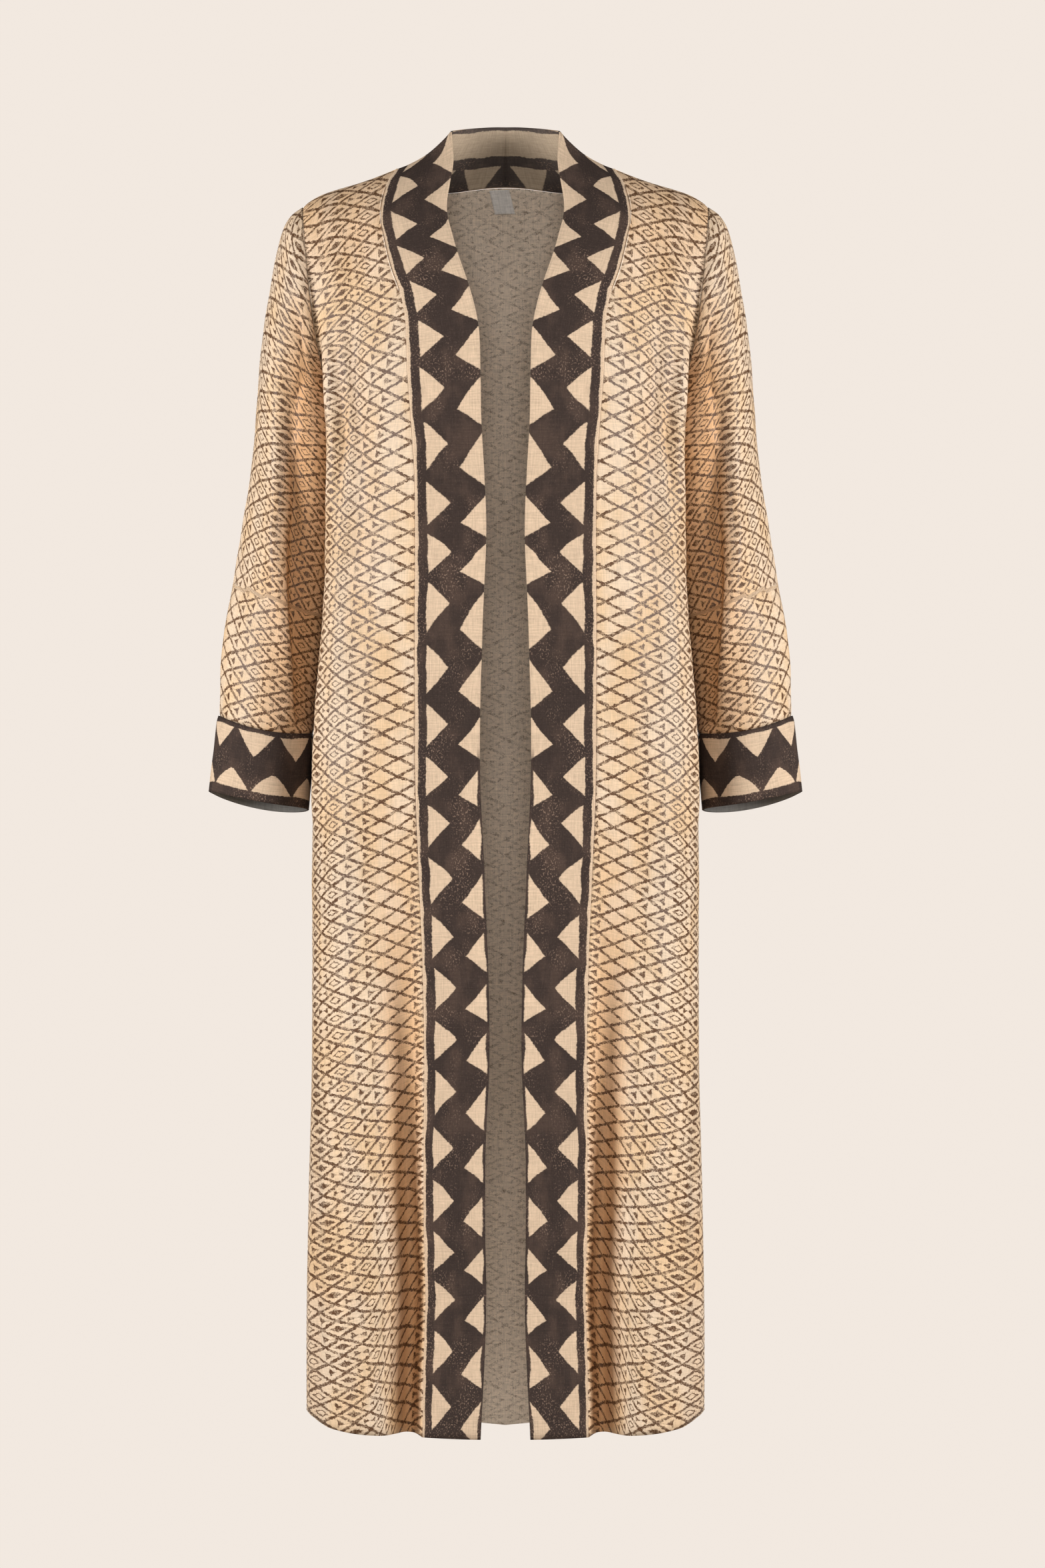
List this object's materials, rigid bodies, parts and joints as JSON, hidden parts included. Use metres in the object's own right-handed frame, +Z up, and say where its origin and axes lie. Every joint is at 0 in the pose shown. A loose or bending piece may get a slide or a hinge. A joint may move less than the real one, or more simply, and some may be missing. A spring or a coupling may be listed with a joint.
{
  "type": "duster coat",
  "caption": "Long open-front printed duster coat, hollow as worn, with set-in sleeves, bordered cuffs and a wide border band round the neck and down both fronts.",
  "frame": {"origin": "middle of the neck opening, level with the points where the shoulder seams meet the neck band, where the shoulders carry the coat", "axes": "+Z up from hem to neck, +X towards the wearer's left sleeve, -Y towards the open front"},
  "size_m": [0.578, 0.268, 1.2937],
  "materials": {
    "printed_cloth": "matt, slubby plain-weave cotton, sand ground printed in dark brown",
    "border_cloth": "matt, slubby plain-weave cotton, dark brown ground with beige triangles",
    "label_cloth": "soft satin-weave tape, blank"
  },
  "bodies": {
    "root": {"back_panel": "printed_cloth", "front_left": "printed_cloth", "front_right": "printed_cloth", "sleeve_left": "printed_cloth", "sleeve_right": "printed_cloth", "band_left": "border_cloth", "band_right": "border_cloth", "cuff_left": "border_cloth", "cuff_right": "border_cloth", "neck_label": "label_cloth"}
  },
  "joints": []
}
